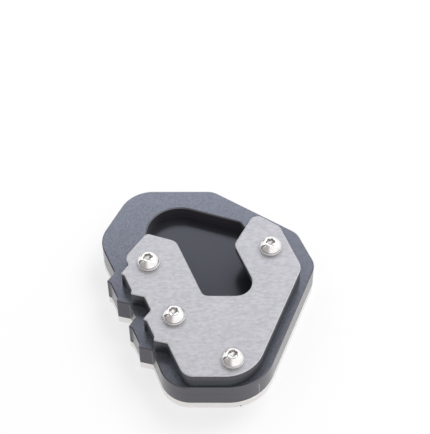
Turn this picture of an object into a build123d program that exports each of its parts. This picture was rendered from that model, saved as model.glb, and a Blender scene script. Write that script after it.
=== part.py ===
from build123d import *
import os
from math import atan2, cos, degrees, hypot, radians, sin, tan

# Kickstand foot enlarger: a stack of a sole plate, a base plate with a pocket for the
# stand's foot, a spacer plate and a slotted top plate, clamped by four button head screws.
# Lengths are in millimetres. Plan sizes are measured from the straight front edge (y = 0).
# x grows to the right and y to the back, seen from above. A lean is the angle in degrees
# by which a line runs to the left as it goes back.

# Plate thicknesses, from the ground up
sole_thickness = 4.5
base_thickness = 12.0
spacer_thickness = 5.0
top_thickness = 3.5

# Teeth on the left flank, shared by all four plates
flank_lean = 24.1
tooth_count = 2
tooth_pitch = 26.5
tooth_length = 18.9
tooth_height = 4.9
tooth_front_run = 3.8
tooth_back_run = 3.0
barb_width = 1.7
barb_depth = 1.1
tooth_tip_radius = 0.6
tooth_root_radius = 1.2

# Base and sole outline
base_depth = 107.7
base_front_left = -17.1
base_flank_foot = -15.9
base_front_left_radius = 14.0
base_first_tooth = 21.0
base_flank_tail = 20.0
base_left_radius = 15.0
base_rear_left = -36.7
base_rear_left_radius = 16.0
base_rear_right = 1.3
base_rear_right_radius = 9.0
base_shoulder_x = 40.3
base_shoulder_y = 83.2
base_shoulder_radius = 9.0
base_right_x = 48.3
base_right_y = 64.9
base_right_radius = 9.0
base_right_lean = -21.25
base_front_right_radius = 21.0

# Top and spacer outline
top_front = 1.0
top_front_left = -10.1
top_front_left_radius = 6.0
top_first_tooth = 18.0
top_flank_tail = 4.6
top_left_radius = 5.4
top_right_x = 41.5
top_right_y = 57.7
top_right_radius = 7.5
top_right_lean = -21.6
top_front_right_radius = 17.5

# Slot for the leg, open to the back between two prongs
slot_lean = 23.0
slot_width = 23.5
slot_front = 42.2
slot_left = -2.4
slot_left_radius = 3.5
slot_right_radius = 7.5
left_prong_length = 32.6
left_prong_outer_x = -28.7
left_prong_outer_y = 76.5
left_prong_inner_radius = 5.0
left_prong_outer_radius = 2.2
right_prong_length = 30.4
right_prong_inner_radius = 5.0
right_prong_tip_x = 20.7
right_prong_tip_y = 88.1
right_prong_tip_radius = 3.7
right_prong_outer_x = 32.0
right_prong_outer_y = 80.6
right_prong_outer_radius = 4.0

# Pocket for the stand's foot: blind in the base plate, right through the spacer.
# Its rear is set by the wall left behind it, and its right knee by its rear right corner.
pocket_depth = 7.0
pocket_rear_wall = 4.4
pocket_left = -29.3
pocket_left_lean = 29.3
pocket_left_knee_radius = 12.0
pocket_rear_left_radius = 15.3
pocket_rear_right = 14.2
pocket_rear_drop = 14.0
pocket_rear_right_radius = 2.0
pocket_knee_run = 5.3
pocket_knee_drop = 9.3
pocket_right_knee_radius = 6.0
pocket_front = 40.8
pocket_front_left = -9.0
pocket_front_left_radius = 5.0
pocket_front_right = 23.7
pocket_front_right_radius = 10.0

# Broken edges. The base plate's is smaller than the rounding of the teeth by the tip land.
tooth_tip_land = 0.1
base_edge_chamfer = tooth_tip_radius - tooth_tip_land
top_edge_chamfer = 0.35
sole_edge_chamfer = 0.4

# Clamp screws: six-lobed button heads on small washers, screwed into the base plate.
# Each stands beside an edge of the top plate, the one on the flank a little nearer to it.
clamp_thread = 6.0
clamp_tip_gap = 2.0
clamp_head_diameter = 10.5
clamp_head_height = 3.0
clamp_head_rim = 0.4
clamp_head_crown = 5.4
socket_lobe_count = 6
socket_across_lobes = 4.3
socket_core_diameter = 3.4
socket_lobe_radius = 0.7
socket_depth = 2.0
clamp_hole_clearance = 0.5
washer_diameter = 10.2
washer_thickness = 1.0
washer_bore_clearance = 0.4
clamp_edge_distance = 8.6
clamp_flank_distance = 7.9
clamp_left_along = 61.0
clamp_flank_along = 29.7
clamp_front_x = 10.6
clamp_right_along = 15.4

# Sole screws: countersunk heads let into the sole plate from below.
# Each stands at one distance from its edge of the base plate.
sole_thread = 5.0
sole_engagement = 5.7
sole_head_diameter = 9.4
sole_head_land = 0.4
sole_head_sink = 0.2
sole_socket_across_flats = 3.0
sole_socket_depth = 1.6
sole_hole_clearance = 0.5
sole_head_clearance = 0.1
sole_edge_distance = 9.0
sole_rear_left_along = 78.0
sole_front_left_along = 46.4
sole_rear_right_along = 17.2
sole_front_right_along = 25.0

# Threads of all screws: the bore is wider than the shank, and deeper than its tip
thread_clearance = 0.05
thread_bottom_room = 0.4
thread_tip_chamfer = 0.6

# How near to a level an edge must lie to be taken as lying on it
level_margin = 0.001

# The most of an edge that the roundings at its two ends may take together
rounded_share = 0.98

# Levels of the plate faces above the ground, and the screw lengths that follow
base_level = sole_thickness
spacer_level = base_level + base_thickness
top_level = spacer_level + spacer_thickness
clamp_level = top_level + top_thickness
pocket_level = spacer_level - pocket_depth
clamp_length = clamp_level + washer_thickness - base_level - clamp_tip_gap
sole_screw_length = sole_thickness - sole_head_sink + sole_engagement


def beside(corner, lean, along, left):
    """A point by its distance along a leaning line from a corner, and to the left of it."""
    angle = radians(lean)
    x = corner[0] - along * sin(angle) - left * cos(angle)
    y = corner[1] + along * cos(angle) - left * sin(angle)
    return x, y


def leaning_x(x, y, lean, level):
    """Where a leaning line through a point crosses another level of y."""
    return x - (level - y) * tan(radians(lean))


def tooth_corners(corner, start):
    """The corners of one barbed tooth that starts at a distance along the flank."""
    front_tip = start + tooth_front_run
    back_tip = start + tooth_length - tooth_back_run
    recess = tooth_height - barb_depth
    outline = [
        (start, 0, tooth_root_radius),
        (front_tip, tooth_height, tooth_tip_radius),
        (front_tip + barb_width, recess, tooth_tip_radius),
        (back_tip - barb_width, recess, tooth_tip_radius),
        (back_tip, tooth_height, tooth_tip_radius),
        (start + tooth_length, 0, tooth_root_radius),
    ]
    return [(*beside(corner, flank_lean, along, out), radius) for along, out, radius in outline]


def flank_corners(corner, first_tooth, tail, left_radius):
    """All corners of the flank, from its first tooth to the plate's left corner."""
    corners = []
    for number in range(tooth_count):
        corners += tooth_corners(corner, first_tooth + number * tooth_pitch)
    end = first_tooth + (tooth_count - 1) * tooth_pitch + tooth_length + tail
    corners.append((*beside(corner, flank_lean, end, 0), left_radius))
    return corners


def rounded(corners):
    """The same corners, with each radius no larger than its two edges have room for."""
    count = len(corners)
    directions = []
    lengths = []
    for number, (x, y, radius) in enumerate(corners):
        next_x, next_y, next_radius = corners[(number + 1) % count]
        directions.append(atan2(next_y - y, next_x - x))
        lengths.append(hypot(next_x - x, next_y - y))
    reaches = []
    for number, (x, y, radius) in enumerate(corners):
        turn = abs(degrees(directions[number] - directions[number - 1])) % 360
        reaches.append(radius * tan(radians(min(turn, 360 - turn) / 2)))
    limited = []
    for number, (x, y, radius) in enumerate(corners):
        behind = (reaches[number] + reaches[number - 1]) / lengths[number - 1]
        ahead = (reaches[number] + reaches[(number + 1) % count]) / lengths[number]
        limited.append((x, y, radius / max(1, behind / rounded_share, ahead / rounded_share)))
    return limited


def outline_face(corners):
    """A face inside a closed line of corners, each given as x, y and rounding radius."""
    corners = rounded(corners)
    points = [(x, y) for x, y, radius in corners]
    radii = [radius for x, y, radius in corners]
    return make_face(FilletPolyline(*points, radius=radii, close=True))


def base_front_right():
    """Front right corner of the base outline."""
    return leaning_x(base_right_x, base_right_y, base_right_lean, 0), 0


def base_outline():
    """Outline of the base plate and the sole plate."""
    flank_foot = (base_flank_foot, 0)
    corners = [(base_front_left, 0, base_front_left_radius)]
    corners += flank_corners(flank_foot, base_first_tooth, base_flank_tail, base_left_radius)
    corners += [
        (base_rear_left, base_depth, base_rear_left_radius),
        (base_rear_right, base_depth, base_rear_right_radius),
        (base_shoulder_x, base_shoulder_y, base_shoulder_radius),
        (base_right_x, base_right_y, base_right_radius),
        (*base_front_right(), base_front_right_radius),
    ]
    return outline_face(corners)


def top_outline():
    """Outline of the top plate: toothed flank, two prongs and the slot between them."""
    front_left = (top_front_left, top_front)
    front_right = leaning_x(top_right_x, top_right_y, top_right_lean, top_front)
    slot_right = slot_left + slot_width / cos(radians(slot_lean))
    left_end = slot_front + left_prong_length * cos(radians(slot_lean))
    right_end = slot_front + right_prong_length * cos(radians(slot_lean))
    left_inner = leaning_x(slot_left, slot_front, slot_lean, left_end)
    right_inner = leaning_x(slot_right, slot_front, slot_lean, right_end)
    corners = [(*front_left, top_front_left_radius)]
    corners += flank_corners(front_left, top_first_tooth, top_flank_tail, top_left_radius)
    corners += [
        (left_prong_outer_x, left_prong_outer_y, left_prong_outer_radius),
        (left_inner, left_end, left_prong_inner_radius),
        (slot_left, slot_front, slot_left_radius),
        (slot_right, slot_front, slot_right_radius),
        (right_inner, right_end, right_prong_inner_radius),
        (right_prong_tip_x, right_prong_tip_y, right_prong_tip_radius),
        (right_prong_outer_x, right_prong_outer_y, right_prong_outer_radius),
        (top_right_x, top_right_y, top_right_radius),
        (front_right, top_front, top_front_right_radius),
    ]
    return outline_face(corners)


def pocket_outline():
    """Outline of the stand's foot with its room, wider than the slot all round."""
    rear_left = base_depth - pocket_rear_wall
    rear_right = rear_left - pocket_rear_drop
    slant_depth = (pocket_front_left - pocket_left) / tan(radians(pocket_left_lean))
    corners = [
        (pocket_left, rear_left, pocket_rear_left_radius),
        (pocket_rear_right, rear_right, pocket_rear_right_radius),
        (
            pocket_rear_right + pocket_knee_run,
            rear_right - pocket_knee_drop,
            pocket_right_knee_radius,
        ),
        (pocket_front_right, pocket_front, pocket_front_right_radius),
        (pocket_front_left, pocket_front, pocket_front_left_radius),
        (pocket_left, pocket_front + slant_depth, pocket_left_knee_radius),
    ]
    return outline_face(corners)


def clamp_places():
    """The clamp screws by name, each beside its edge of the top plate."""
    front_left = (top_front_left, top_front)
    right = (top_right_x, top_right_y)
    lean = degrees(atan2(top_right_x - right_prong_outer_x, right_prong_outer_y - top_right_y))
    return {
        "left": beside(front_left, flank_lean, clamp_left_along, -clamp_edge_distance),
        "flank": beside(front_left, flank_lean, clamp_flank_along, -clamp_flank_distance),
        "front": (clamp_front_x, top_front + clamp_edge_distance),
        "right": beside(right, lean, clamp_right_along, clamp_edge_distance),
    }


def sole_places():
    """The sole screws by name, each beside its edge of the base plate."""
    foot = (base_flank_foot, 0)
    right = (base_right_x, base_right_y)
    lean = degrees(atan2(base_right_x - base_shoulder_x, base_shoulder_y - base_right_y))
    distance = sole_edge_distance
    return {
        "rear_left": beside(foot, flank_lean, sole_rear_left_along, -distance),
        "rear_right": beside(right, lean, sole_rear_right_along, distance),
        "front_left": beside(foot, flank_lean, sole_front_left_along, -distance),
        "front_right": beside(
            base_front_right(), base_right_lean, sole_front_right_along, distance
        ),
    }


def plate(outline, level, thickness):
    """A flat plate of an outline, standing on a level."""
    return Pos(0, 0, level) * extrude(outline, amount=thickness)


def drill(places, diameter, low, high):
    """Round holes of one diameter at each place, from a low to a high level."""
    depth = high - low
    centre = (low + high) / 2
    return [Pos(x, y, centre) * Cylinder(diameter / 2, depth) for x, y in places.values()]


def edges_at(solid, level):
    """The edges of a solid that lie flat at a level."""
    return solid.edges().filter_by_position(Axis.Z, level - level_margin, level + level_margin)


def make_sole_plate():
    """Bare sole plate with countersunk holes in its underside."""
    solid = plate(base_outline(), 0, sole_thickness)
    solid = chamfer(edges_at(solid, 0), sole_edge_chamfer)
    bore = sole_thread + sole_hole_clearance
    head = sole_head_diameter + 2 * sole_head_clearance
    straight = sole_head_sink + sole_head_land
    cone = (head - bore) / 2
    for x, y in sole_places().values():
        solid -= Pos(x, y, sole_thickness / 2) * Cylinder(bore / 2, 2 * sole_thickness)
        solid -= Pos(x, y, straight / 2) * Cylinder(head / 2, straight)
        solid -= Pos(x, y, straight + cone / 2) * Cone(head / 2, bore / 2, cone)
    return solid


def make_base_plate():
    """Base plate with the foot pocket, tapped holes and broken upper edges."""
    solid = plate(base_outline(), base_level, base_thickness)
    solid -= plate(pocket_outline(), pocket_level, pocket_depth)
    solid = chamfer(edges_at(solid, spacer_level), base_edge_chamfer)
    clamp_bottom = base_level + clamp_tip_gap - thread_bottom_room
    clamp_bore = clamp_thread + 2 * thread_clearance
    for hole in drill(clamp_places(), clamp_bore, clamp_bottom, spacer_level):
        solid -= hole
    sole_top = base_level + sole_engagement + thread_bottom_room
    sole_bore = sole_thread + 2 * thread_clearance
    for hole in drill(sole_places(), sole_bore, base_level, sole_top):
        solid -= hole
    return solid


def make_spacer_plate():
    """Spacer plate: the top plate's outline less the foot pocket."""
    solid = plate(top_outline(), spacer_level, spacer_thickness)
    solid -= plate(pocket_outline(), spacer_level, spacer_thickness)
    bore = clamp_thread + clamp_hole_clearance
    for hole in drill(clamp_places(), bore, spacer_level, top_level):
        solid -= hole
    return solid


def make_top_plate():
    """Slotted top plate with clearance holes and a broken upper edge."""
    solid = plate(top_outline(), top_level, top_thickness)
    solid = chamfer(edges_at(solid, clamp_level), top_edge_chamfer)
    bore = clamp_thread + clamp_hole_clearance
    for hole in drill(clamp_places(), bore, top_level, clamp_level):
        solid -= hole
    return solid


def make_washer():
    """Small flat washer, standing on level zero at the middle of its bore."""
    bore = clamp_thread + washer_bore_clearance
    return Pos(0, 0, washer_thickness / 2) * (
        Cylinder(washer_diameter / 2, washer_thickness) - Cylinder(bore / 2, washer_thickness)
    )


def lobed_socket(across, depth):
    """Six-lobed driving socket, cut downwards from level zero."""
    ring = across / 2 - socket_lobe_radius
    core = Cylinder(socket_core_diameter / 2, depth)
    for place in PolarLocations(ring, socket_lobe_count):
        core += place * Cylinder(socket_lobe_radius, depth)
    return Pos(0, 0, -depth / 2) * core


def ball_radius(low, high):
    """Radius of the ball centred on the upright axis that passes through two rings."""
    rise = high[1] - low[1]
    drop = (low[0] ** 2 - high[0] ** 2 - rise**2) / (2 * rise)
    return hypot(low[0], drop)


def turned(profile):
    """A solid turned about the upright axis from a closed half profile of x and z points."""
    face = make_face(Plane.XZ * profile)
    return revolve(face, axis=Axis.Z)


def make_clamp_screw():
    """Button head screw with its head standing on level zero and its shank below."""
    rim = (clamp_head_diameter / 2, clamp_head_rim)
    crown = (clamp_head_crown / 2, clamp_head_height)
    shank = clamp_thread / 2
    profile = Polyline(
        crown,
        (0, clamp_head_height),
        (0, -clamp_length),
        (shank - thread_tip_chamfer, -clamp_length),
        (shank, thread_tip_chamfer - clamp_length),
        (shank, 0),
        (clamp_head_diameter / 2, 0),
        rim,
    )
    dome = RadiusArc(rim, crown, -ball_radius(rim, crown))
    screw = turned(profile + dome)
    return screw - Pos(0, 0, clamp_head_height) * lobed_socket(socket_across_lobes, socket_depth)


def make_sole_screw():
    """Countersunk screw pointing up, with the flat of its head on level zero."""
    head = sole_head_diameter / 2
    shank = sole_thread / 2
    cone_top = sole_head_land + head - shank
    profile = Polyline(
        (0, 0),
        (head, 0),
        (head, sole_head_land),
        (shank, cone_top),
        (shank, sole_screw_length - thread_tip_chamfer),
        (shank - thread_tip_chamfer, sole_screw_length),
        (0, sole_screw_length),
        (0, 0),
    )
    screw = turned(profile)
    socket_radius = sole_socket_across_flats / (2 * cos(radians(30)))
    socket = extrude(RegularPolygon(socket_radius, 6), amount=sole_socket_depth)
    return screw - socket


# Pieces by name, still in plan position
pieces = {
    "sole_plate": make_sole_plate(),
    "base_plate": make_base_plate(),
    "spacer_plate": make_spacer_plate(),
    "top_plate": make_top_plate(),
}
for place, (x, y) in clamp_places().items():
    pieces[f"clamp_washer_{place}"] = Pos(x, y, clamp_level) * make_washer()
    pieces[f"clamp_screw_{place}"] = Pos(x, y, clamp_level + washer_thickness) * make_clamp_screw()
for place, (x, y) in sole_places().items():
    pieces[f"sole_screw_{place}"] = Pos(x, y, sole_head_sink) * make_sole_screw()

# The origin is on the ground under the middle of the plates
middle = pieces["base_plate"].bounding_box().center()
to_origin = Pos(-middle.X, -middle.Y, 0)

os.makedirs("parts", exist_ok=True)
for name, piece in pieces.items():
    export_step(to_origin * piece, f"parts/{name}.step")
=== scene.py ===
import logging
from dataclasses import dataclass
from enum import Enum
from functools import cache
from math import atan2, cos, hypot, pi, radians, sin

import bpy
from mathutils import Matrix, Vector

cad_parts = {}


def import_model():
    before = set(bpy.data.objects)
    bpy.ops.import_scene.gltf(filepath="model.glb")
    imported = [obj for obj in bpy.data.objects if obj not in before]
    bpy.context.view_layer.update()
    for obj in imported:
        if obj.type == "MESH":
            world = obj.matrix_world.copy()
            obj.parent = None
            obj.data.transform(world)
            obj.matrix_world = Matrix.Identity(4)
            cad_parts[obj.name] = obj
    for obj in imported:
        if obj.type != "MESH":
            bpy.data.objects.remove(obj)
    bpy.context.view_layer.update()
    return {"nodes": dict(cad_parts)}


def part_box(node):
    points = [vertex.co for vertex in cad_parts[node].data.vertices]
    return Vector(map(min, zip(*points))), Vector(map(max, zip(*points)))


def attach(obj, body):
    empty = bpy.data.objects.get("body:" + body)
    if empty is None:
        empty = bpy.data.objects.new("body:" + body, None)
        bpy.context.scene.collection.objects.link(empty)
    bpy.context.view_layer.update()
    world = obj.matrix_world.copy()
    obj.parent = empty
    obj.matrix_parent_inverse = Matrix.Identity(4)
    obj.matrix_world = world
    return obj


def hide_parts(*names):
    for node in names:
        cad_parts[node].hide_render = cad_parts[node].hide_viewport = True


# A kickstand foot enlarger: four stacked plates, clamped by button head screws on washers.
# Every length in this file is in metres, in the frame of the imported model.

MM = 0.001
BODY = "root"
CLAMP_PLACES = ("left", "flank", "front", "right")
SOLE_PLACES = ("rear_left", "rear_right", "front_left", "front_right")

# Corners that turn by less than this are shaded as one round surface
SMOOTH_ANGLE = radians(35)
MERGE_DISTANCE = 0.001 * MM

# How far up a surface faces: walls lie below the first limit and flat tops above the second.
# Broken edges face halfway up, within a margin.
WALL_LIMIT = 0.2
TOP_LIMIT = 0.9
EDGE_LEVEL = 0.7
EDGE_MARGIN = 0.1

# How much each finer layer of a noise counts, and the stretch of a noise that changes the gloss
LAYER_SHARE = 0.6
GLOSS_SPAN = (0.3, 0.7)

HEXAGON_SIDES = 6

# A Mix node's two inputs and its output, by the kind of value that it mixes
COLOUR_SOCKETS = (6, 7, 2)
NUMBER_SOCKETS = (2, 3, 0)

Socket = bpy.types.NodeSocket
Tree = bpy.types.NodeTree
Pair = tuple[float, float]
Triple = tuple[float, float, float]

log = logging.getLogger("foot_enlarger")


class Drive(Enum):
    """How a screw is driven."""

    SIX_LOBES = "six lobes"
    HEXAGON = "hexagon"


def linear(code: str) -> tuple[float, float, float, float]:
    """Turns an sRGB hex colour to linear light.

    Args:
        code: The colour as six hex digits after a hash.

    Returns:
        Linear red, green and blue, and an alpha of one.
    """
    channels = [int(code[i : i + 2], 16) / 255 for i in (1, 3, 5)]
    values = [c / 12.92 if c <= 0.04045 else ((c + 0.055) / 1.055) ** 2.4 for c in channels]
    return values[0], values[1], values[2], 1.0


def add_node(
    tree: Tree,
    kind: str,
    inputs: dict | None = None,
    links: dict | None = None,
    **settings,
) -> bpy.types.Node:
    """Adds a node with its settings, socket values and incoming links.

    Args:
        tree: The node tree to add to.
        kind: The node's type name.
        inputs: Values by input name or number.
        links: Output sockets by input name or number.
        settings: The node's own properties.

    Returns:
        The new node.
    """
    node = tree.nodes.new(kind)
    for name, value in settings.items():
        setattr(node, name, value)
    for name, value in (inputs or {}).items():
        node.inputs[name].default_value = value
    for name, socket in (links or {}).items():
        tree.links.new(socket, node.inputs[name])
    return node


def new_material(name: str) -> tuple[bpy.types.Material, Tree]:
    """Makes an empty node material.

    Args:
        name: The finish's name.

    Returns:
        The material and its node tree, with no nodes in it.
    """
    material = bpy.data.materials.new(name)
    material.use_nodes = True
    material.node_tree.nodes.clear()
    return material, material.node_tree


def masked_colour(tree: Tree, mask: Socket, under: Socket | str, over: Socket | str) -> Socket:
    """Lays one colour over another where a mask says.

    Args:
        tree: The node tree.
        mask: 0 for the colour under and 1 for the one over.
        under: A colour socket, or a hex colour.
        over: A colour socket, or a hex colour.

    Returns:
        The mixed colour.
    """
    node = add_node(tree, "ShaderNodeMix", links={0: mask}, data_type="RGBA")
    first, second, result = COLOUR_SOCKETS
    for place, value in ((first, under), (second, over)):
        if isinstance(value, str):
            node.inputs[place].default_value = linear(value)
        else:
            tree.links.new(value, node.inputs[place])
    return node.outputs[result]


def masked_number(
    tree: Tree, mask: Socket, under: Socket | float, over: Socket | float
) -> Socket:
    """Puts one number in another's place where a mask says.

    Args:
        tree: The node tree.
        mask: 0 for the number under and 1 for the one over.
        under: A number, or a socket that gives one.
        over: A number, or a socket that gives one.

    Returns:
        The mixed number.
    """
    node = add_node(tree, "ShaderNodeMix", links={0: mask}, data_type="FLOAT")
    first, second, result = NUMBER_SOCKETS
    for place, value in ((first, under), (second, over)):
        if isinstance(value, float):
            node.inputs[place].default_value = value
        else:
            tree.links.new(value, node.inputs[place])
    return node.outputs[result]


def spread(
    tree: Tree,
    number: Socket,
    low: float,
    high: float,
    start: float = 0.0,
    stop: float = 1.0,
) -> Socket:
    """Maps a number to a range, held at the range's ends.

    Args:
        tree: The node tree.
        number: The number to map.
        low: The result where the number is at its start.
        high: The result where the number is at its stop.
        start: The number that gives low.
        stop: The number that gives high.

    Returns:
        The mapped number.
    """
    node = add_node(
        tree,
        "ShaderNodeMapRange",
        inputs={"From Min": start, "From Max": stop, "To Min": low, "To Max": high},
        links={"Value": number},
    )
    return node.outputs["Result"]


def compare(
    tree: Tree, number: Socket, operation: str, limit: float, margin: float = 0.0
) -> Socket:
    """Tests a number against a limit.

    Args:
        tree: The node tree.
        number: The number.
        operation: The kind of test.
        limit: What the number is tested against.
        margin: How near is near enough, where the test asks that.

    Returns:
        1 where the test holds, and 0 elsewhere.
    """
    node = add_node(
        tree,
        "ShaderNodeMath",
        inputs={1: limit, 2: margin},
        links={0: number},
        operation=operation,
    )
    return node.outputs["Value"]


def combine(tree: Tree, operation: str, *numbers: Socket) -> Socket:
    """Joins numbers by one operation, such as a product or the largest.

    Args:
        tree: The node tree.
        operation: The operation's name.
        numbers: Two or more numbers.

    Returns:
        The result.
    """
    result = numbers[0]
    for number in numbers[1:]:
        node = add_node(
            tree, "ShaderNodeMath", links={0: result, 1: number}, operation=operation
        )
        result = node.outputs["Value"]
    return result


def product(tree: Tree, *factors: Socket) -> Socket:
    """Multiplies two or more numbers."""
    return combine(tree, "MULTIPLY", *factors)


def separate(tree: Tree, vector: Socket) -> list[Socket]:
    """The x, y and z of a vector."""
    return list(add_node(tree, "ShaderNodeSeparateXYZ", links={"Vector": vector}).outputs)


@dataclass(frozen=True)
class Mark:
    """A scratch or a nick: a box about a place on the surface, and the colour inside it."""

    place: Triple
    reach: Triple
    colour: str


@dataclass(frozen=True)
class Metal:
    """What every metal finish here has: a colour, a roughness and its unevenness.

    A dyed or dulled skin scatters a share of the light, so its metallic share is under one.
    """

    name: str
    colour: str
    roughness: float
    grain: float
    relief: float
    metallic: float = 1.0
    smoother: float = 0.04
    rougher: float = 0.04
    marks: tuple[Mark, ...] = ()

    def noise(self, tree: Tree, size: Triple, layers: float = 2.0) -> Socket:
        """Makes noise on Object coordinates.

        Args:
            tree: The material's node tree.
            size: The real length of one patch along x, y and z.
            layers: How many finer layers the noise has.

        Returns:
            The noise, around one half.
        """
        place = add_node(tree, "ShaderNodeTexCoord")
        scaled = add_node(
            tree,
            "ShaderNodeMapping",
            inputs={"Scale": tuple(1 / length for length in size)},
            links={"Vector": place.outputs["Object"]},
        )
        made = add_node(
            tree,
            "ShaderNodeTexNoise",
            inputs={"Scale": 1.0, "Detail": layers, "Roughness": LAYER_SHARE},
            links={"Vector": scaled.outputs["Vector"]},
        )
        return made.outputs["Fac"]

    def facing_up(self, tree: Tree) -> Socket:
        """The upward share of the surface's own direction: 1 on top, 0 on walls."""
        return separate(tree, add_node(tree, "ShaderNodeTexCoord").outputs["Normal"])[2]

    def place(self, tree: Tree) -> list[Socket]:
        """The place on the piece, along x, y and z."""
        return separate(tree, add_node(tree, "ShaderNodeTexCoord").outputs["Object"])

    def walls(self, tree: Tree, up: Socket) -> Socket:
        """1 on walls and on faces that look down, and 0 elsewhere."""
        return compare(tree, up, "LESS_THAN", WALL_LIMIT)

    def broken_edges(self, tree: Tree, up: Socket) -> Socket:
        """1 on the broken edges between a top and a wall, and 0 elsewhere."""
        return compare(tree, up, "COMPARE", EDGE_LEVEL, EDGE_MARGIN)

    def uneven(self, tree: Tree, noise: Socket) -> Socket:
        """The roughness, a little smoother or rougher from place to place."""
        low = self.roughness - self.smoother
        return spread(tree, noise, low, self.roughness + self.rougher, *GLOSS_SPAN)

    def marked(self, tree: Tree, colour: Socket) -> Socket:
        """Lays the marks over a colour.

        Args:
            tree: The material's node tree.
            colour: The colour under the marks.

        Returns:
            The colour with its marks.
        """
        for mark in self.marks:
            near = [
                compare(tree, along, "COMPARE", middle, reach)
                for along, middle, reach in zip(self.place(tree), mark.place, mark.reach)
            ]
            colour = masked_colour(tree, product(tree, *near), colour, mark.colour)
        return colour

    def shader(self, tree: Tree, colour: Socket, roughness: Socket, height: Socket) -> None:
        """Ends a metal material in one shader.

        Args:
            tree: The material's node tree.
            colour: The metal's colour.
            roughness: The roughness.
            height: The surface's unevenness, from 0 to 1.
        """
        bump = add_node(
            tree,
            "ShaderNodeBump",
            inputs={"Strength": 1.0, "Distance": self.relief},
            links={"Height": height},
        )
        surface = add_node(
            tree,
            "ShaderNodeBsdfPrincipled",
            inputs={"Metallic": self.metallic},
            links={
                "Base Color": self.marked(tree, colour),
                "Roughness": roughness,
                "Normal": bump.outputs["Normal"],
            },
        )
        add_node(
            tree, "ShaderNodeOutputMaterial", links={"Surface": surface.outputs["BSDF"]}
        )


@dataclass(frozen=True)
class BlackAnodisedAluminium(Metal):
    """Milled and blasted aluminium, anodised black.

    The dye leaves a dark grey metal that turns pale at a glancing angle, with a fine blasted
    speckle. The oxide is thin on sharp edges, so the broken edges are lighter, and their
    colour also holds a painted highlight. The cutter's step shows on the walls as a fine line.
    The walls' lowest band, by the joint to the sole, is darkened as painted shade in the gap.
    A pocket's floor is darkened as painted shade in the recess.
    """

    smoother: float = 0.03
    speck_colour: str = "#56575F"
    speck_span: Pair = (0.32, 0.68)
    cloud_size: float = 14 * MM
    wall_colour: str = "#56555B"
    wall_roughness: float = 0.2
    # Broken edges: lighter for thin oxide, and a painted highlight
    edge_wear_and_highlight_colour: str = "#5C5B61"
    step_colour: str = "#4C4B51"
    step_level: float = 11.5 * MM
    step_width: float = 0.35 * MM
    # Painted shade on the walls' lowest band, in the gap at the sole
    joint_shade_colour: str = "#232327"
    joint_level: float = 4.8 * MM
    # Painted shade on the pocket's floor
    pocket_shade_colour: str = "#3A3B41"
    pocket_level: float = 9.7 * MM

    def build(self) -> bpy.types.Material:
        """Builds the material.

        Returns:
            The material.
        """
        material, tree = new_material(self.name)
        up = self.facing_up(tree)
        level = self.place(tree)[2]
        grain = self.noise(tree, (self.grain,) * 3)
        cloud = self.noise(tree, (self.cloud_size,) * 3)
        walls = self.walls(tree, up)
        flat = compare(tree, up, "GREATER_THAN", TOP_LIMIT)
        step = compare(tree, level, "COMPARE", self.step_level, self.step_width / 2)
        joint = compare(tree, level, "LESS_THAN", self.joint_level)
        # The pocket's floor, below this level, where shade is painted
        floor = compare(tree, level, "LESS_THAN", self.pocket_level)
        specks = spread(tree, grain, 0.0, 1.0, *self.speck_span)
        tint = masked_colour(tree, specks, self.speck_colour, self.colour)
        # Broken edges, lighter for thin oxide and a painted highlight
        tint = masked_colour(tree, self.broken_edges(tree, up), tint, self.edge_wear_and_highlight_colour)
        tint = masked_colour(tree, walls, tint, self.wall_colour)
        tint = masked_colour(tree, product(tree, walls, step), tint, self.step_colour)
        # Painted shade at the foot of the walls, by the sole
        tint = masked_colour(tree, product(tree, walls, joint), tint, self.joint_shade_colour)
        # Painted shade on the pocket's floor
        tint = masked_colour(tree, product(tree, floor, flat), tint, self.pocket_shade_colour)
        rough = masked_number(tree, walls, self.uneven(tree, cloud), self.wall_roughness)
        self.shader(tree, tint, rough, product(tree, grain, up))
        return material


@dataclass(frozen=True)
class BrushedStainlessSteel(Metal):
    """Stainless sheet with a rolled and lightly brushed face and laser-cut walls.

    The face is a pale satin with faint streaks across the plate. The cut walls are rough,
    dark and finely striped upright.
    """

    dull_colour: str = "#9A999B"
    mottle_length: float = 2.2 * MM
    mottle_width: float = 1.2 * MM
    mottle_layers: float = 4.0
    mottle_span: Pair = (0.35, 0.65)
    streak_colour: str = "#B8B7B9"
    streak_length: float = 9 * MM
    streak_layers: float = 3.0
    streak_span: Pair = (0.5, 0.75)
    streak_share: float = 0.5
    # Broken edges: a lighter deburred break, with a painted highlight
    edge_wear_and_highlight_colour: str = "#BEBCBE"
    cut_colour: str = "#56555C"
    cut_roughness: float = 0.5
    burr_colour: str = "#4B4A50"
    stripe_width: float = 0.45 * MM
    stripe_height: float = 12 * MM
    stripe_span: Pair = (0.35, 0.65)

    def build(self) -> bpy.types.Material:
        """Builds the material.

        Returns:
            The material.
        """
        material, tree = new_material(self.name)
        up = self.facing_up(tree)
        walls = self.walls(tree, up)
        streak_size = (self.streak_length, self.grain, self.streak_length)
        streaks = self.noise(tree, streak_size, self.streak_layers)
        mottle_size = (self.mottle_length, self.mottle_width, self.mottle_length)
        mottle = self.noise(tree, mottle_size, self.mottle_layers)
        stripes = self.noise(tree, (self.stripe_width, self.stripe_width, self.stripe_height))
        polished = spread(tree, mottle, 0.0, 1.0, *self.mottle_span)
        face = masked_colour(tree, polished, self.dull_colour, self.colour)
        brushed = spread(tree, streaks, 0.0, self.streak_share, *self.streak_span)
        face = masked_colour(tree, brushed, face, self.streak_colour)
        clean = spread(tree, stripes, 0.0, 1.0, *self.stripe_span)
        cut = masked_colour(tree, clean, self.burr_colour, self.cut_colour)
        tint = masked_colour(tree, walls, face, cut)
        # Broken edges, lighter as a deburred break with a painted highlight
        tint = masked_colour(tree, self.broken_edges(tree, up), tint, self.edge_wear_and_highlight_colour)
        rough = masked_number(tree, walls, self.uneven(tree, streaks), self.cut_roughness)
        self.shader(tree, tint, rough, masked_number(tree, walls, streaks, stripes))
        return material


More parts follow.
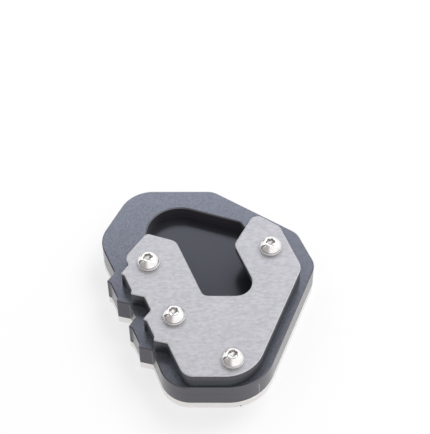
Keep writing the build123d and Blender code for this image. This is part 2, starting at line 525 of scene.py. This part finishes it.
@dataclass(frozen=True)
class SpottedMetal(Metal):
    """A bare or plated metal with one colour, a fine grain and soft spots of a second one."""

    smoother: float = 0.02
    rougher: float = 0.05
    spot_colour: str = "#CFCDCB"
    spot_size: float = 3 * MM
    spot_span: Pair = (0.35, 0.7)

    def build(self) -> bpy.types.Material:
        """Builds the material.

        Returns:
            The material.
        """
        material, tree = new_material(self.name)
        grain = self.noise(tree, (self.grain,) * 3)
        spots = self.noise(tree, (self.spot_size,) * 3)
        mask = spread(tree, spots, 0.0, 1.0, *self.spot_span)
        tint = masked_colour(tree, mask, self.colour, self.spot_colour)
        self.shader(tree, *self.worked(tree, tint, spots), grain)
        return material

    def worked(self, tree: Tree, tint: Socket, spots: Socket) -> tuple[Socket, Socket]:
        """What working the metal leaves: the tint as it is, and a gloss that follows the spots."""
        return tint, self.uneven(tree, spots)


@dataclass(frozen=True)
class DarkSocketSteel(SpottedMetal):
    """Bright steel, darker and rougher on the walls of its driving socket, near the top of the
    head.
    """

    socket_colour: str = "#C4C0BE"
    socket_level: float = 26.9 * MM
    socket_roughness: float = 0.5

    def worked(self, tree: Tree, tint: Socket, spots: Socket) -> tuple[Socket, Socket]:
        """Makes the socket's walls darker and rougher.

        Args:
            tree: The material's node tree.
            tint: The steel's colour.
            spots: The spots, which leave an even gloss here.

        Returns:
            The colour and the roughness.
        """
        high = compare(tree, self.place(tree)[2], "GREATER_THAN", self.socket_level)
        inside = product(tree, self.walls(tree, self.facing_up(tree)), high)
        tint = masked_colour(tree, inside, tint, self.socket_colour)
        return tint, spread(tree, inside, self.roughness, self.socket_roughness)


# The real blasted grain is about 0.1 mm and a real brush mark is finer still. Both are drawn
# coarser, at 0.8 and 0.4 mm, because finer ones don't show. From a step away they give the
# eye a dark grey that isn't quite even on the black plates, and a soft sheen with faint
# streaks on the top plate. The other metals' grain is coarser than the real one too, and
# gives their highlights a slightly broken outline.
BLACK_ANODISED = BlackAnodisedAluminium(
    name="black_anodised_aluminium",
    colour="#686B75",
    roughness=0.22,
    grain=0.8 * MM,
    relief=0.005 * MM,
    metallic=0.6,
    marks=(
        Mark((23.2 * MM, -49 * MM, 8.8 * MM), (0.14 * MM, 0.5 * MM, 3.4 * MM), "#97969B"),
        Mark((22.6 * MM, -49.4 * MM, 11 * MM), (0.1 * MM, 0.5 * MM, 1.4 * MM), "#8B8A8F"),
    ),
)
# The spacer: black anodised like the base, in darker colours that paint the shade under the top
# plate
BLACK_ANODISED_PAINTED_SHADE = BlackAnodisedAluminium(
    name="black_anodised_aluminium_painted_shade",
    colour="#42454C",
    roughness=0.4,
    grain=0.8 * MM,
    relief=0.005 * MM,
    metallic=0.42,
    wall_colour="#2D3036",
    wall_roughness=0.4,
    speck_colour="#393C42",
    edge_wear_and_highlight_colour="#4A4D54",
)
BRUSHED_STAINLESS = BrushedStainlessSteel(
    name="brushed_stainless_steel",
    colour="#ABA9AC",
    roughness=0.52,
    grain=0.4 * MM,
    relief=0.004 * MM,
    metallic=0.7,
)
BARE_ALUMINIUM = SpottedMetal(
    name="bare_aluminium",
    colour="#F1EEEC",
    roughness=0.34,
    grain=0.5 * MM,
    relief=0.003 * MM,
    spot_colour="#EBE8E5",
    marks=(
        Mark((15.2 * MM, -53.1 * MM, 0.5 * MM), (0.4 * MM, 0.6 * MM, 0.45 * MM), "#2A2929"),
    ),
)
ZINC_PLATE = SpottedMetal(
    name="zinc_plated_washer",
    colour="#E4E1E1",
    roughness=0.28,
    grain=0.4 * MM,
    relief=0.002 * MM,
    metallic=0.5,
    spot_colour="#D2CFCF",
)
BRIGHT_STEEL = DarkSocketSteel(
    name="bright_screw_steel",
    colour="#E8E6E5",
    roughness=0.15,
    grain=0.6 * MM,
    relief=0.0008 * MM,
    spot_colour="#DAD8D6",
)


@cache
def material_of(finish: Metal) -> bpy.types.Material:
    """Builds a finish's material once, and gives the same one after that."""
    return finish.build()


def deselect() -> None:
    """Leaves nothing selected and no object in edit mode."""
    if bpy.context.mode != "OBJECT":
        bpy.ops.object.mode_set(mode="OBJECT")
    bpy.ops.object.select_all(action="DESELECT")


def activate(piece: bpy.types.Object) -> None:
    """Makes one piece the only selected and the active one.

    Args:
        piece: The piece.
    """
    deselect()
    piece.select_set(True)
    bpy.context.view_layer.objects.active = piece


def turn(
    name: str, stations: list[Pair], segments: int, ring: bool = False
) -> bpy.types.Object:
    """Turns a round piece about the upright axis by extruding a circle from ring to ring.

    Args:
        name: The piece's name.
        stations: The radius and height of each ring, in order along the surface.
        segments: The number of sides of each ring.
        ring: True if the last ring meets the first, as on a washer.

    Returns:
        The piece, around the origin.
    """
    deselect()
    radius, level = stations[0]
    bpy.ops.mesh.primitive_circle_add(
        vertices=segments,
        radius=radius,
        fill_type="NOTHING" if ring else "NGON",
        location=(0, 0, level),
    )
    piece = bpy.context.active_object
    piece.name = name
    piece.data.name = name
    bpy.ops.object.transform_apply(location=True)
    bpy.ops.object.mode_set(mode="EDIT")
    bpy.ops.mesh.select_all(action="SELECT")
    for next_radius, next_level in stations[1:] + (stations[:1] if ring else []):
        move = {"value": (0, 0, next_level - level)}
        if ring:
            bpy.ops.mesh.extrude_edges_move(TRANSFORM_OT_translate=move)
        else:
            bpy.ops.mesh.extrude_region_move(TRANSFORM_OT_translate=move)
        share = next_radius / radius
        bpy.ops.transform.resize(value=(share, share, 1), center_override=(0, 0, next_level))
        radius, level = next_radius, next_level
    bpy.ops.mesh.select_all(action="SELECT")
    bpy.ops.mesh.remove_doubles(threshold=MERGE_DISTANCE)
    bpy.ops.mesh.normals_make_consistent(inside=False)
    bpy.ops.object.mode_set(mode="OBJECT")
    return piece


def arc(start: Pair, end: Pair, centre: Pair, steps: int) -> list[Pair]:
    """Points on a round stretch of a turned profile.

    Args:
        start: Radius and height of the first point.
        end: Radius and height of the last point.
        centre: The stretch's own centre.
        steps: The number of steps between them.

    Returns:
        The points from start to end, both included.
    """
    first = atan2(start[1] - centre[1], start[0] - centre[0])
    last = atan2(end[1] - centre[1], end[0] - centre[0])
    size = hypot(start[0] - centre[0], start[1] - centre[1])
    turns = [first + (last - first) * step / steps for step in range(steps + 1)]
    return [(centre[0] + size * cos(a), centre[1] + size * sin(a)) for a in turns]


def apply_modifier(piece: bpy.types.Object, kind: str, **settings) -> None:
    """Adds a modifier to a piece and applies it.

    Args:
        piece: The piece.
        kind: The modifier's type name.
        settings: The modifier's own properties.
    """
    activate(piece)
    modifier = piece.modifiers.new(kind.lower(), kind)
    for name, value in settings.items():
        setattr(modifier, name, value)
    bpy.ops.object.modifier_apply(modifier=modifier.name)


def cut_away(piece: bpy.types.Object, tool: bpy.types.Object) -> None:
    """Cuts a tool's shape out of a piece and removes the tool.

    Args:
        piece: The piece.
        tool: The shape to take away.
    """
    apply_modifier(piece, "BOOLEAN", object=tool, operation="DIFFERENCE", solver="EXACT")
    bpy.data.objects.remove(tool)


def copy_to_node(
    model: bpy.types.Object, node: str, turned_deg: float = 0.0
) -> None:
    """Copies a finished model to a node's place and hands it to the frame.

    Args:
        model: The piece on the upright axis, with its lowest point at level zero.
        node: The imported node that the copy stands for.
        turned_deg: How far the copy is turned about its axis.
    """
    low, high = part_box(node)
    centre = (low + high) / 2
    activate(model)
    bpy.ops.object.duplicate()
    piece = bpy.context.active_object
    piece.name = f"{node}_detail"
    piece.data.name = piece.name
    turned = Matrix.Rotation(radians(turned_deg), 4, "Z")
    piece.matrix_world = Matrix.Translation((centre.x, centre.y, low.z)) @ turned
    bpy.ops.object.transform_apply(location=True, rotation=True)
    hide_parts(node)
    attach(piece, BODY)
    log.info("%s: %d faces", piece.name, len(piece.data.polygons))


@dataclass
class Thread:
    """An outside thread on a shank along the upright axis.

    The depth, the land and the sink are shares of the pitch. The land is half of the flat at
    the crest or the root, and the ridge starts a little inside the shank, by the sink.
    """

    major_radius: float
    pitch: float
    low: float
    high: float
    steps: int = 24
    depth_share: float = 0.61
    land_share: float = 0.06
    sink_share: float = 0.1

    @property
    def root_radius(self) -> float:
        """The radius at the root."""
        return self.major_radius - self.depth_share * self.pitch

    def build(self, name: str) -> bpy.types.Object:
        """Builds the ridge as one winding bar with closed ends.

        Args:
            name: The ridge's name.

        Returns:
            The ridge, to be joined to its shank.
        """
        deselect()
        bpy.ops.mesh.primitive_plane_add(size=1, location=(0, 0, 0))
        ridge = bpy.context.active_object
        ridge.name = name
        sunk_radius = self.root_radius - self.sink_share * self.pitch
        corners = [
            (sunk_radius, self.land_share),
            (sunk_radius, 1 - self.land_share),
            (self.major_radius, 0.5 - self.land_share),
            (self.major_radius, 0.5 + self.land_share),
        ]
        for vertex, (radius, share) in zip(ridge.data.vertices, corners):
            vertex.co = (radius, 0, self.low + share * self.pitch)
        turns = round((self.high - self.low) / self.pitch) - 1
        bpy.ops.object.mode_set(mode="EDIT")
        bpy.ops.mesh.select_all(action="SELECT")
        bpy.ops.mesh.delete(type="ONLY_FACE")
        bpy.ops.object.mode_set(mode="OBJECT")
        apply_modifier(
            ridge,
            "SCREW",
            axis="Z",
            angle=2 * pi * turns,
            screw_offset=self.pitch * turns,
            steps=self.steps * turns,
            render_steps=self.steps * turns,
            use_merge_vertices=False,
        )
        bpy.ops.object.mode_set(mode="EDIT")
        bpy.ops.mesh.select_all(action="DESELECT")
        bpy.ops.mesh.select_mode(type="EDGE")
        bpy.ops.mesh.select_non_manifold(extend=False)
        bpy.ops.mesh.edge_face_add()
        bpy.ops.mesh.select_all(action="SELECT")
        bpy.ops.mesh.normals_make_consistent(inside=False)
        bpy.ops.object.mode_set(mode="OBJECT")
        return ridge


@dataclass
class Screws:
    """Screws of one kind, modelled once and copied to each place.

    The lengths along the shank, from the point to the neck, are in pitches. The socket's
    drilled tip and the flanks between its lobes are shares of the socket's radius.
    """

    prefix: str
    places: tuple[str, ...]
    turns_deg: tuple[float, ...]
    drive: Drive
    finish: Metal
    shank_radius: float
    pitch: float
    socket_across: float
    socket_depth: float
    point: float = 0.5
    neck_slope: float = 0.4
    head_room: float = 1.0
    tip_drop: float = 0.3
    hexagon_tip: float = 0.2
    lobes_tip: float = 0.15
    lobes: int = 6
    waist: float = 0.84
    flank: float = 0.3
    segments: int = 96

    @property
    def length(self) -> float:
        """The whole length, head included."""
        low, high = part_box(f"{self.prefix}_{self.places[0]}")
        return high.z - low.z

    @property
    def head_radius(self) -> float:
        """The head's radius."""
        low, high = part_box(f"{self.prefix}_{self.places[0]}")
        return (high.x - low.x) / 2

    def finish_model(
        self, screw: bpy.types.Object, tool: bpy.types.Object, thread: Thread
    ) -> None:
        """Cuts the socket, adds the thread and copies the screw to its places.

        Args:
            screw: The turned screw on the upright axis.
            tool: The shape that its socket takes away.
            thread: The thread on its shank.
        """
        cut_away(screw, tool)
        ridge = thread.build("thread_ridge")
        activate(screw)
        ridge.select_set(True)
        bpy.ops.object.join()
        bpy.ops.object.shade_smooth_by_angle(angle=SMOOTH_ANGLE)
        screw.data.materials.append(material_of(self.finish))
        for place, turned_deg in zip(self.places, self.turns_deg):
            copy_to_node(screw, f"{self.prefix}_{place}", turned_deg)
        bpy.data.objects.remove(screw)

    def socket_tool(self, mouth: float, lead: float) -> bpy.types.Object:
        """Makes the shape that the driving socket takes away, opening upwards.

        Args:
            mouth: The level of the socket's mouth.
            lead: How far the mouth is broken back.

        Returns:
            The tool.
        """
        radius = self.socket_across / 2
        floor = mouth - self.socket_depth
        if self.drive is Drive.HEXAGON:
            corner = radius / cos(pi / HEXAGON_SIDES)
            stations = [
                (self.hexagon_tip * corner, floor - self.tip_drop * corner),
                (corner, floor),
                (corner, mouth),
                (corner + 2 * lead, mouth + 2 * lead),
            ]
            return turn("socket_tool", stations, HEXAGON_SIDES)
        stations = [
            (self.lobes_tip * radius, floor - self.tip_drop * radius),
            (radius, floor),
            (radius, mouth - lead),
            (radius + 2 * lead, mouth + lead),
        ]
        tool = turn("socket_tool", stations, self.segments)
        flank_radius = self.flank * radius
        flank_place = self.waist * radius + flank_radius
        for lobe in range(self.lobes):
            angle = 2 * pi * (lobe + 0.5) / self.lobes
            deselect()
            bpy.ops.mesh.primitive_cylinder_add(
                vertices=self.segments // 2,
                radius=flank_radius,
                depth=4 * self.socket_depth,
                location=(flank_place * cos(angle), flank_place * sin(angle), mouth),
            )
            cut_away(tool, bpy.context.active_object)
        return tool


@dataclass
class ClampScrews(Screws):
    """Button head screws with a six-lobed socket, standing on washers."""

    thread_start: float = 0.8
    neck: float = 0.4
    head_height: float = 3.0 * MM
    head_inset: float = 0.3 * MM
    rim_height: float = 0.7 * MM
    rim_rounding: float = 0.2 * MM
    crown_radius: float = 2.5 * MM
    crown_step: float = 0.1 * MM
    dome_steps: int = 12
    socket_lead: float = 0.12 * MM

    def build(self) -> None:
        """Models one screw and copies it to its places."""
        top = self.length
        seat = top - self.head_height
        thread = Thread(
            self.shank_radius,
            self.pitch,
            low=self.thread_start * self.pitch,
            high=seat - self.head_room * self.pitch,
        )
        root = thread.root_radius
        crown = (self.crown_radius, top)
        edge = self.head_radius - self.head_inset
        rim = (edge, seat + self.rim_height)
        rise = crown[1] - rim[1]
        drop = (rim[0] ** 2 - crown[0] ** 2 - rise**2) / (2 * rise)
        stations = [
            (root - self.point * self.pitch, 0),
            (root, self.point * self.pitch),
            (root, seat - (self.neck + self.neck_slope) * self.pitch),
            (self.shank_radius, seat - self.neck * self.pitch),
            (self.shank_radius, seat),
            (edge - self.rim_rounding, seat),
            (edge, seat + self.rim_rounding),
            *arc(rim, crown, (0, rim[1] - drop), self.dome_steps),
            (self.crown_radius - self.crown_step, top),
        ]
        screw = turn(f"{self.prefix}_model", stations, self.segments)
        self.finish_model(screw, self.socket_tool(top, self.socket_lead), thread)


@dataclass
class SoleScrews(Screws):
    """Countersunk screws that hold the sole plate from below, heads down."""

    thread_end: float = 0.4
    neck: float = 0.8
    head_land: float = 0.4 * MM
    head_break: float = 0.1 * MM
    socket_lead: float = 0.1 * MM

    def build(self) -> None:
        """Models one screw, head down, and copies it to its places."""
        tip = self.length
        cone_top = self.head_land + self.head_radius - self.shank_radius
        thread = Thread(
            self.shank_radius,
            self.pitch,
            low=cone_top + self.head_room * self.pitch,
            high=tip - self.thread_end * self.pitch,
        )
        root = thread.root_radius
        stations = [
            (root - self.point * self.pitch, tip),
            (root, tip - self.point * self.pitch),
            (root, cone_top + (self.neck + self.neck_slope) * self.pitch),
            (self.shank_radius, cone_top + self.neck * self.pitch),
            (self.shank_radius, cone_top),
            (self.head_radius, self.head_land),
            (self.head_radius, self.head_break),
            (self.head_radius - self.head_break, 0),
        ]
        screw = turn(f"{self.prefix}_model", stations, self.segments)
        tool = self.socket_tool(0, self.socket_lead)
        tool.matrix_world = Matrix.Rotation(pi, 4, "X")
        self.finish_model(screw, tool, thread)


@dataclass
class Washers:
    """Stamped flat washers, rounded on the upper outer edge by the punch."""

    places: tuple[str, ...]
    finish: Metal
    bore_radius: float = 3.2 * MM
    rounding: float = 0.45 * MM
    rounding_steps: int = 5
    small_share: float = 0.3
    segments: int = 96

    def build(self) -> None:
        """Models one washer and copies it to its places."""
        low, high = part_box(f"clamp_washer_{self.places[0]}")
        radius = (high.x - low.x) / 2
        height = high.z - low.z
        soft = self.rounding
        small = self.small_share * soft
        start, end = (radius, height - soft), (radius - soft, height)
        stations = [
            (self.bore_radius + small, 0),
            (radius - small, 0),
            (radius, small),
            *arc(start, end, (end[0], start[1]), self.rounding_steps),
            (self.bore_radius + small, height),
            (self.bore_radius, height - small),
            (self.bore_radius, small),
        ]
        washer = turn("clamp_washer_model", stations, self.segments, ring=True)
        activate(washer)
        bpy.ops.object.shade_smooth_by_angle(angle=SMOOTH_ANGLE)
        washer.data.materials.append(material_of(self.finish))
        for place in self.places:
            copy_to_node(washer, f"clamp_washer_{place}")
        bpy.data.objects.remove(washer)


@dataclass
class Plates:
    """The four stacked plates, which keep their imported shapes."""

    nodes: dict[str, bpy.types.Object]
    sole: Metal = BARE_ALUMINIUM
    base: Metal = BLACK_ANODISED
    # Darker than the base, as painted shade under the top plate
    spacer: Metal = BLACK_ANODISED_PAINTED_SHADE
    top: Metal = BRUSHED_STAINLESS

    def dress(self) -> None:
        """Gives each plate its own finish."""
        for name in ("sole", "base", "spacer", "top"):
            finish = getattr(self, name)
            plate = self.nodes[f"{name}_plate"]
            for slot in plate.material_slots:
                slot.material = material_of(finish)
            if not plate.material_slots:
                plate.data.materials.append(material_of(finish))
            log.info("%s_plate: %s", name, finish.name)


@dataclass
class Studio:
    """Pale floor, soft light and the camera.

    The room's zones are told by the direction that a reflection looks in. A span is the
    stretch of one part of that direction along which a zone comes in or fades, and a share
    is what a zone leaves of the light.
    """

    floor_size: float = 6.0
    floor_drop: float = 0.02 * MM
    floor_colour: str = "#EDEDEE"
    floor_glow_colour: str = "#F9F9FA"
    floor_glow_share: float = 0.68
    camera_place: Triple = (0.01032, -0.35897, 0.53412)
    elevation_deg: float = 52.482
    yaw_deg: float = -0.994
    roll_deg: float = 0.788
    focal_px: float = 1398.644
    long_side_px: float = 434.0
    sensor: float = 36.0
    near_limit: float = 0.01
    far_limit: float = 20.0
    even_colour: str = "#FFFFFF"
    even_light: float = 0.95
    white: float = 1.0
    base_colour: str = "#FFFFFF"
    base_glow: float = 1.25
    band_colour: str = "#F0F5FF"
    band_glow: float = 4.2
    rise_span: Pair = (0.4, 0.66)
    fall_span: Pair = (0.73, 0.835)
    back_span: Pair = (-0.3, 0.3)
    over_span: Pair = (0.77, 0.87)
    over_back: Pair = (0.1, 0.4)
    over_share: float = 0.3
    corner_colour: str = "#FFF9F9"
    left_span: Pair = (-0.4, 0.05)
    front_span: Pair = (0.0, 0.3)
    corner_share: float = 0.42
    low_span: Pair = (0.05, 0.2)
    low_share: float = 0.3
    strip_toward: float = 0.14
    strip_width: float = 0.2
    strip_share: float = 0.07
    flag_toward: Triple = (-0.54, 0.83, 0.12)
    flag_span: Pair = (0.965, 0.99)
    flag_share: float = 0.3
    key_place: Triple = (0.35, 0.45, 0.75)
    key_size: float = 0.5
    key_power: float = 5.0

    def build(self) -> None:
        """Builds the floor, the world, the lamp and the camera."""
        self.build_floor()
        self.build_world()
        self.build_key()
        self.build_camera()

    def build_floor(self) -> None:
        """Builds the floor: pale, with the object's shadow, and open when seen from below."""
        deselect()
        bpy.ops.mesh.primitive_plane_add(
            size=self.floor_size, location=(0, 0, -self.floor_drop)
        )
        floor = bpy.context.active_object
        floor.name = "studio_floor"
        material, tree = new_material("pale_floor")
        paint = add_node(
            tree, "ShaderNodeBsdfDiffuse", inputs={"Color": linear(self.floor_colour)}
        )
        glow = add_node(
            tree,
            "ShaderNodeEmission",
            inputs={"Color": linear(self.floor_glow_colour), "Strength": 1.0},
        )
        mixed = add_node(
            tree,
            "ShaderNodeMixShader",
            links={
                0: spread(tree, self.seen(tree), 0.0, self.floor_glow_share),
                1: paint.outputs["BSDF"],
                2: glow.outputs["Emission"],
            },
        )
        under = add_node(tree, "ShaderNodeNewGeometry").outputs["Backfacing"]
        clear = add_node(tree, "ShaderNodeBsdfTransparent")
        one_sided = add_node(
            tree,
            "ShaderNodeMixShader",
            links={0: under, 1: mixed.outputs["Shader"], 2: clear.outputs["BSDF"]},
        )
        add_node(
            tree, "ShaderNodeOutputMaterial", links={"Surface": one_sided.outputs["Shader"]}
        )
        floor.data.materials.append(material)

    def seen(self, tree: Tree) -> Socket:
        """Tells what looks at a surface from what lights it.

        Args:
            tree: The material's node tree.

        Returns:
            1 where the camera, a reflection or a see-through piece looks, and 0 for light.
        """
        path = add_node(tree, "ShaderNodeLightPath").outputs
        kinds = ("Is Camera Ray", "Is Glossy Ray", "Is Transmission Ray")
        return combine(tree, "MAXIMUM", *(path[kind] for kind in kinds))

    def build_world(self) -> None:
        """Builds the room: even light all round, and a room with form for reflections.

        Reflections see a bright band high at the back, which gives the flat tops their sheen,
        and a dark zone over it, which darkens the tops that face it. They see a grey corner
        to the front left, darker near the ground, with a dark strip beside it and a small
        dark flag low at the back left, which give the domed heads and the walls their form.
        """
        world = bpy.data.worlds.new("soft_room")
        bpy.context.scene.world = world
        world.use_nodes = True
        tree = world.node_tree
        tree.nodes.clear()
        toward = add_node(tree, "ShaderNodeTexCoord").outputs["Generated"]
        across, along, above = separate(tree, toward)
        rise = spread(tree, above, 0.0, 1.0, *self.rise_span)
        fall = spread(tree, above, 1.0, 0.0, *self.fall_span)
        back = spread(tree, along, 0.0, 1.0, *self.back_span)
        band = product(tree, rise, fall, back)
        over = spread(tree, above, 0.0, 1.0, *self.over_span)
        over = product(tree, over, spread(tree, along, 0.0, 1.0, *self.over_back))
        left = spread(tree, across, 1.0, 0.0, *self.left_span)
        front = spread(tree, along, 1.0, 0.0, *self.front_span)
        corner = product(tree, left, front)
        low = spread(tree, above, 1.0, 0.0, *self.low_span)
        strip = compare(tree, along, "COMPARE", self.strip_toward, self.strip_width / 2)
        flag = add_node(
            tree,
            "ShaderNodeVectorMath",
            inputs={1: Vector(self.flag_toward).normalized()},
            links={0: toward},
            operation="DOT_PRODUCT",
        )
        glow = product(
            tree,
            spread(tree, band, self.base_glow, self.band_glow),
            spread(tree, over, 1.0, self.over_share),
            spread(tree, corner, 1.0, self.corner_share),
            spread(tree, product(tree, corner, low), 1.0, self.low_share),
            spread(tree, product(tree, left, strip), 1.0, self.strip_share),
            spread(tree, flag.outputs["Value"], 1.0, self.flag_share, *self.flag_span),
        )
        path = add_node(tree, "ShaderNodeLightPath").outputs
        even = masked_number(tree, path["Is Camera Ray"], self.even_light, self.white)
        tint = masked_colour(tree, band, self.base_colour, self.band_colour)
        tint = masked_colour(tree, corner, tint, self.corner_colour)
        room = add_node(
            tree,
            "ShaderNodeBackground",
            links={
                "Strength": masked_number(tree, path["Is Glossy Ray"], even, glow),
                "Color": masked_colour(tree, path["Is Glossy Ray"], self.even_colour, tint),
            },
        )
        add_node(tree, "ShaderNodeOutputWorld", links={"Surface": room.outputs["Background"]})

    def build_key(self) -> None:
        """Builds one large soft box above, to the back right, that faces the object."""
        deselect()
        bpy.ops.object.light_add(type="AREA", location=self.key_place)
        lamp = bpy.context.active_object
        lamp.name = "key_soft_box"
        lamp.data.shape = "SQUARE"
        lamp.data.size = self.key_size
        lamp.data.energy = self.key_power
        lamp.rotation_mode = "QUATERNION"
        lamp.rotation_quaternion = (-Vector(self.key_place)).to_track_quat("-Z", "Y")
        lamp.visible_glossy = False

    def build_camera(self) -> None:
        """Builds the camera, with its place and turn from the plates' own corners."""
        angles = (self.elevation_deg, self.yaw_deg, self.roll_deg)
        tilt, yaw, roll = (radians(angle) for angle in angles)
        ahead = Vector((sin(yaw) * cos(tilt), cos(yaw) * cos(tilt), -sin(tilt)))
        right = Vector((cos(yaw), -sin(yaw), 0))
        down = ahead.cross(right)
        image_right = cos(roll) * right + sin(roll) * down
        image_down = -sin(roll) * right + cos(roll) * down
        axes = Matrix((image_right, -image_down, -ahead)).transposed()
        data = bpy.data.cameras.new("camera")
        data.sensor_width = self.sensor
        data.lens = self.focal_px / self.long_side_px * self.sensor
        data.clip_start = self.near_limit
        data.clip_end = self.far_limit
        camera = bpy.data.objects.new("camera", data)
        bpy.context.scene.collection.objects.link(camera)
        camera.matrix_world = Matrix.Translation(self.camera_place) @ axes.to_4x4()
        bpy.context.scene.camera = camera


def main() -> None:
    """Loads the frame, then builds every piece and the studio."""
    logging.basicConfig(level=logging.INFO, format="%(name)s: %(message)s")
    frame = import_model()
    bpy.context.scene.view_settings.view_transform = "Standard"
    Plates(frame["nodes"]).dress()
    Washers(CLAMP_PLACES, ZINC_PLATE).build()
    ClampScrews(
        prefix="clamp_screw",
        places=CLAMP_PLACES,
        turns_deg=(12, 41, 27, 5),
        drive=Drive.SIX_LOBES,
        finish=BRIGHT_STEEL,
        shank_radius=3 * MM,
        pitch=1 * MM,
        socket_across=4.3 * MM,
        socket_depth=2 * MM,
    ).build()
    SoleScrews(
        prefix="sole_screw",
        places=SOLE_PLACES,
        turns_deg=(8, 33, 51, 20),
        drive=Drive.HEXAGON,
        finish=BRIGHT_STEEL,
        shank_radius=2.5 * MM,
        pitch=0.8 * MM,
        socket_across=3 * MM,
        socket_depth=1.6 * MM,
    ).build()
    Studio().build()


if __name__ == "__main__":
    main()
